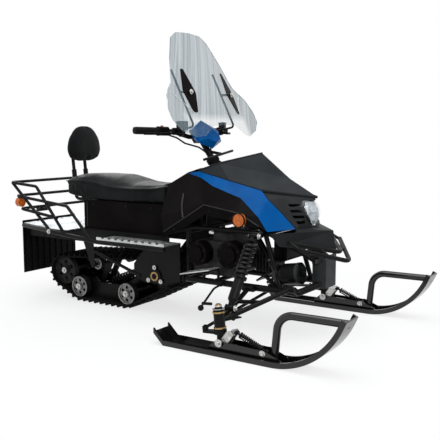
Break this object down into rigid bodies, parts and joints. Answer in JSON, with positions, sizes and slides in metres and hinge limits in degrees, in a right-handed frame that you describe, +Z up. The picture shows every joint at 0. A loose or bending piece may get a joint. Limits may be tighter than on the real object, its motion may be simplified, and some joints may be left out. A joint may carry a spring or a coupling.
{
  "type": "snow bike",
  "caption": "Small tracked snow bike: steered skis in front, one driven track behind, long seat with backrest, tall clear screen and a tube rack at the rear.",
  "frame": {"origin": "on the snow, under the middle of the overall length and width", "axes": "+X forward, +Y to the rider's left, +Z up"},
  "size_m": [2.0785, 1.09, 1.3729],
  "materials": {
    "black_plastic": "satin black moulding",
    "hood_plastic": "grained dark grey moulding",
    "blue_plastic": "gloss blue",
    "frame_paint": "black powder coat",
    "bare_metal": "bare sheet",
    "zinc": "zinc plated",
    "cast": "cast",
    "rubber": "matt",
    "wheel_grey": "grey moulding",
    "clear": "clear sheet",
    "amber": "clear amber",
    "red": "clear red",
    "vinyl": "black vinyl",
    "cloth": "black woven",
    "spring": "gloss black",
    "lamp": "bright reflector"
  },
  "bodies": {
    "chassis": {"track": "rubber", "idler_wheels": "wheel_grey", "tail_wheels": "wheel_grey", "drive_axle": "frame_paint", "skid_rails": "frame_paint", "skid_arms": "frame_paint", "skid_damper": "spring", "tunnel": "frame_paint", "drive_plates": "frame_paint", "running_boards": "bare_metal", "frame": "frame_paint", "bulkhead": "frame_paint", "engine": "cast", "engine_covers": "black_plastic", "exhaust": "frame_paint", "a_arms": "frame_paint", "shocks": "spring", "hood": "hood_plastic", "stripes": "blue_plastic", "side_panels": "black_plastic", "console": "black_plastic", "nose": "black_plastic", "headlamp": "lamp", "headlamp_lens": "clear", "bumper": "frame_paint", "seat": "vinyl", "seat_box": "black_plastic", "rear_deck": "bare_metal", "fuel_tank": "black_plastic", "battery_box": "black_plastic", "backrest": "cloth", "backrest_posts": "frame_paint", "rack": "frame_paint", "mud_flap": "rubber", "tail_lamp": "red", "marker_lamps": "amber", "foot_rests": "bare_metal", "gear_lever": "frame_paint"},
    "steering": {"steering_column": "frame_paint", "handlebar": "frame_paint", "grips": "rubber", "hand_controls": "black_plastic", "windscreen": "clear", "screen_plates": "black_plastic", "cowl": "blue_plastic", "instrument": "black_plastic", "column_boot": "rubber", "cables": "rubber"},
    "ski_left": {"spindle_left": "zinc", "ski_left": "black_plastic", "ski_saddle_left": "zinc", "ski_damper_left": "spring"},
    "tie_rod_left": {"tie_rod_left": "frame_paint"},
    "ski_right": {"spindle_right": "zinc", "ski_right": "black_plastic", "ski_saddle_right": "zinc", "ski_damper_right": "spring"},
    "tie_rod_right": {"tie_rod_right": "frame_paint"}
  },
  "joints": [
    {"name": "steering", "type": "hinge", "parent": "chassis", "child": "steering", "pos_m": [0.46661, 0, 0.24], "axis": [-0.5736, 0, 0.8192], "range_deg": [-35, 35]},
    {"name": "ski_left_steer", "type": "hinge", "parent": "chassis", "child": "ski_left", "pos_m": [0.465, 0.49, 0.09], "axis": [-0.1045, 0, 0.9945], "range_deg": [-28.2, 28.2]},
    {"name": "tie_rod_left_swing", "type": "hinge", "parent": "ski_left", "child": "tie_rod_left", "pos_m": [0.39015, 0.49, 0.0942], "axis": [-0.1045, 0, 0.9945], "range_deg": [-28.2, 28.2]},
    {"name": "ski_right_steer", "type": "hinge", "parent": "chassis", "child": "ski_right", "pos_m": [0.465, -0.49, 0.09], "axis": [-0.1045, 0, 0.9945], "range_deg": [-28.2, 28.2]},
    {"name": "tie_rod_right_swing", "type": "hinge", "parent": "ski_right", "child": "tie_rod_right", "pos_m": [0.39015, -0.49, 0.0942], "axis": [-0.1045, 0, 0.9945], "range_deg": [-28.2, 28.2]}
  ],
  "couplings": [
    {"joint": "ski_left_steer", "follows": "steering", "ratio": 0.8},
    {"joint": "tie_rod_left_swing", "follows": "steering", "ratio": -0.8},
    {"joint": "ski_right_steer", "follows": "steering", "ratio": 0.8},
    {"joint": "tie_rod_right_swing", "follows": "steering", "ratio": -0.8}
  ]
}
